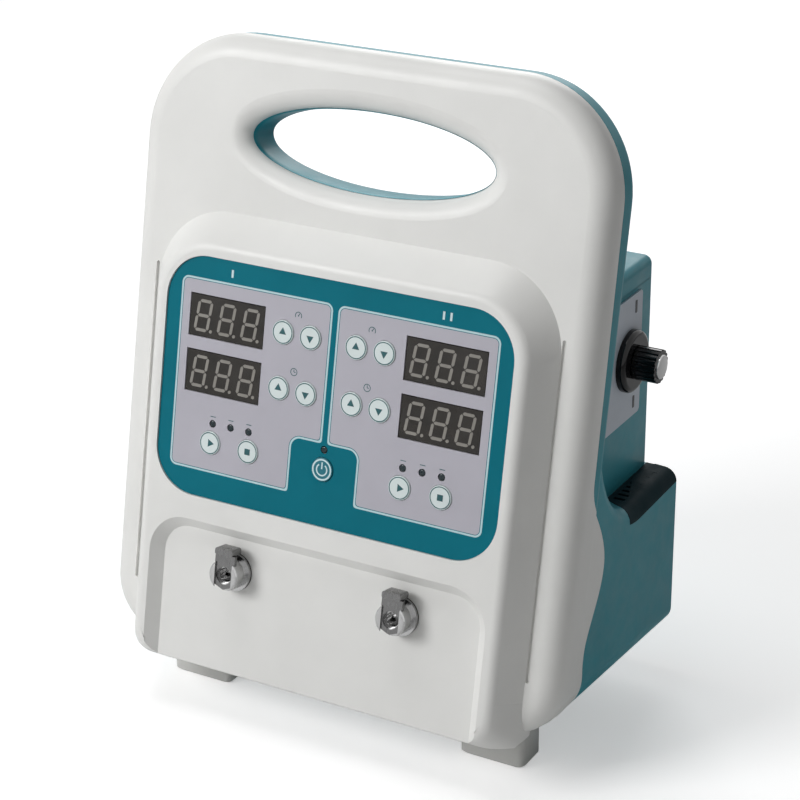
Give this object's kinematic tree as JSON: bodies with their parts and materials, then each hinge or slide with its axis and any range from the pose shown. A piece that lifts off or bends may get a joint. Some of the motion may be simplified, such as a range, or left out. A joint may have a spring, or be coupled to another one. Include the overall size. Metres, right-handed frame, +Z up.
{
  "type": "pneumatic tourniquet system",
  "caption": "Portable bench unit that inflates limb cuffs: leaning control face with displays and keys, hose couplings, carrying handle and release valve.",
  "frame": {"origin": "on the table, under the middle of the bounding box", "axes": "+X to the viewer's right along the face, +Y to the back, +Z up; the control face looks to -Y and leans back by 11.7 degrees"},
  "size_m": [0.226, 0.1424, 0.2947],
  "materials": {
    "shell_white": "fine satin, moulded",
    "shell_teal": "fine satin, moulded",
    "overlay_film": "printed film with two pale grey fields",
    "display_window": "polished window",
    "key_white": "satin with a printed sign",
    "lamp_dark": "clear, unlit",
    "circuit_board": "solder mask",
    "black_plastic": "moulded",
    "gloss_black": "polished",
    "knob_black": "fluted, with a bright end",
    "steel": "zinc plated",
    "chrome_metal": "bright plated",
    "brass_metal": "turned",
    "aluminium_sheet": "plain",
    "pump_metal": "plated can",
    "black_rubber": "moulded",
    "hose_rubber": "silicone",
    "battery_wrap": "shrink wrap",
    "foot_grey": "moulded",
    "plate_grey": "satin",
    "vent_dark": "moulded"
  },
  "bodies": {
    "housing": {"front_housing": "shell_white", "rear_housing": "shell_teal", "housing_screws": "steel", "keypad_overlay": "overlay_film", "indicator_leds": "lamp_dark", "key_switches": "black_plastic", "display_board": "circuit_board", "board_screws": "steel", "coupling_seals": "black_rubber", "coupling_nuts": "chrome_metal", "feet": "foot_grey", "foot_screws": "steel", "chassis_plate": "aluminium_sheet", "chassis_screws": "steel", "valve_manifold": "aluminium_sheet", "solenoid_valves": "black_plastic", "pump_a": "pump_metal", "pump_b": "pump_metal", "pump_cradles": "black_rubber", "air_hose_a": "hose_rubber", "air_hose_b": "hose_rubber", "release_flange": "gloss_black", "release_valve": "brass_metal", "release_nut": "brass_metal", "side_plate": "plate_grey", "release_hose": "hose_rubber", "power_supply": "aluminium_sheet", "battery_pack": "battery_wrap", "control_board": "circuit_board", "pressure_sensors": "black_plastic", "buzzer": "black_plastic", "shoulder_vent_left": "vent_dark", "shoulder_vent_right": "vent_dark", "power_inlet": "black_plastic", "coupling_body_a": "chrome_metal", "latch_spring_a": "steel", "display_a_pressure": "display_window", "display_a_time": "display_window", "coupling_body_b": "chrome_metal", "latch_spring_b": "steel", "display_b_pressure": "display_window", "display_b_time": "display_window"},
    "key_a_pressure_up": {"key_a_pressure_up": "key_white"},
    "key_a_pressure_down": {"key_a_pressure_down": "key_white"},
    "key_a_time_up": {"key_a_time_up": "key_white"},
    "key_a_time_down": {"key_a_time_down": "key_white"},
    "key_a_start": {"key_a_start": "key_white"},
    "key_a_stop": {"key_a_stop": "key_white"},
    "key_b_pressure_up": {"key_b_pressure_up": "key_white"},
    "key_b_pressure_down": {"key_b_pressure_down": "key_white"},
    "key_b_time_up": {"key_b_time_up": "key_white"},
    "key_b_time_down": {"key_b_time_down": "key_white"},
    "key_b_start": {"key_b_start": "key_white"},
    "key_b_stop": {"key_b_stop": "key_white"},
    "key_power": {"key_power": "key_white"},
    "coupling_latch_a": {"coupling_latch_a": "chrome_metal"},
    "coupling_latch_b": {"coupling_latch_b": "chrome_metal"},
    "release_knob": {"release_knob": "knob_black"},
    "fuse_drawer": {"fuse_drawer": "black_plastic"},
    "mains_rocker": {"mains_rocker": "gloss_black"}
  },
  "joints": [
    {"name": "key_a_pressure_up_press", "type": "slide", "parent": "housing", "child": "key_a_pressure_up", "axis": [0, 0.9792, -0.2028], "range_m": [0, 0.0005], "stiffness_N_per_m": 400, "springref_m": -0.002},
    {"name": "key_a_pressure_down_press", "type": "slide", "parent": "housing", "child": "key_a_pressure_down", "axis": [0, 0.9792, -0.2028], "range_m": [0, 0.0005], "stiffness_N_per_m": 400, "springref_m": -0.002},
    {"name": "key_a_time_up_press", "type": "slide", "parent": "housing", "child": "key_a_time_up", "axis": [0, 0.9792, -0.2028], "range_m": [0, 0.0005], "stiffness_N_per_m": 400, "springref_m": -0.002},
    {"name": "key_a_time_down_press", "type": "slide", "parent": "housing", "child": "key_a_time_down", "axis": [0, 0.9792, -0.2028], "range_m": [0, 0.0005], "stiffness_N_per_m": 400, "springref_m": -0.002},
    {"name": "key_a_start_press", "type": "slide", "parent": "housing", "child": "key_a_start", "axis": [0, 0.9792, -0.2028], "range_m": [0, 0.0005], "stiffness_N_per_m": 400, "springref_m": -0.002},
    {"name": "key_a_stop_press", "type": "slide", "parent": "housing", "child": "key_a_stop", "axis": [0, 0.9792, -0.2028], "range_m": [0, 0.0005], "stiffness_N_per_m": 400, "springref_m": -0.002},
    {"name": "key_b_pressure_up_press", "type": "slide", "parent": "housing", "child": "key_b_pressure_up", "axis": [0, 0.9792, -0.2028], "range_m": [0, 0.0005], "stiffness_N_per_m": 400, "springref_m": -0.002},
    {"name": "key_b_pressure_down_press", "type": "slide", "parent": "housing", "child": "key_b_pressure_down", "axis": [0, 0.9792, -0.2028], "range_m": [0, 0.0005], "stiffness_N_per_m": 400, "springref_m": -0.002},
    {"name": "key_b_time_up_press", "type": "slide", "parent": "housing", "child": "key_b_time_up", "axis": [0, 0.9792, -0.2028], "range_m": [0, 0.0005], "stiffness_N_per_m": 400, "springref_m": -0.002},
    {"name": "key_b_time_down_press", "type": "slide", "parent": "housing", "child": "key_b_time_down", "axis": [0, 0.9792, -0.2028], "range_m": [0, 0.0005], "stiffness_N_per_m": 400, "springref_m": -0.002},
    {"name": "key_b_start_press", "type": "slide", "parent": "housing", "child": "key_b_start", "axis": [0, 0.9792, -0.2028], "range_m": [0, 0.0005], "stiffness_N_per_m": 400, "springref_m": -0.002},
    {"name": "key_b_stop_press", "type": "slide", "parent": "housing", "child": "key_b_stop", "axis": [0, 0.9792, -0.2028], "range_m": [0, 0.0005], "stiffness_N_per_m": 400, "springref_m": -0.002},
    {"name": "key_power_press", "type": "slide", "parent": "housing", "child": "key_power", "axis": [0, 0.9792, -0.2028], "range_m": [0, 0.0005], "stiffness_N_per_m": 400, "springref_m": -0.002},
    {"name": "latch_a_slide", "type": "slide", "parent": "housing", "child": "coupling_latch_a", "axis": [0, -0.2028, -0.9792], "range_m": [0, 0.0016], "stiffness_N_per_m": 500, "springref_m": -0.002, "deforming": ["latch_spring_a"]},
    {"name": "latch_b_slide", "type": "slide", "parent": "housing", "child": "coupling_latch_b", "axis": [0, -0.2028, -0.9792], "range_m": [0, 0.0016], "stiffness_N_per_m": 500, "springref_m": -0.002, "deforming": ["latch_spring_b"]},
    {"name": "release_knob_turn", "type": "hinge", "parent": "housing", "child": "release_knob", "pos_m": [0.1, 0.046, 0.161], "axis": [1, 0, 0], "range_deg": [0, 90]},
    {"name": "fuse_drawer_slide", "type": "slide", "parent": "housing", "child": "fuse_drawer", "axis": [0, 1, 0], "range_m": [0, 0.014]},
    {"name": "mains_rocker_tilt", "type": "hinge", "parent": "housing", "child": "mains_rocker", "pos_m": [-0.06, 0.0662, 0.094], "axis": [-1, 0, 0], "range_deg": [0, 18]}
  ]
}
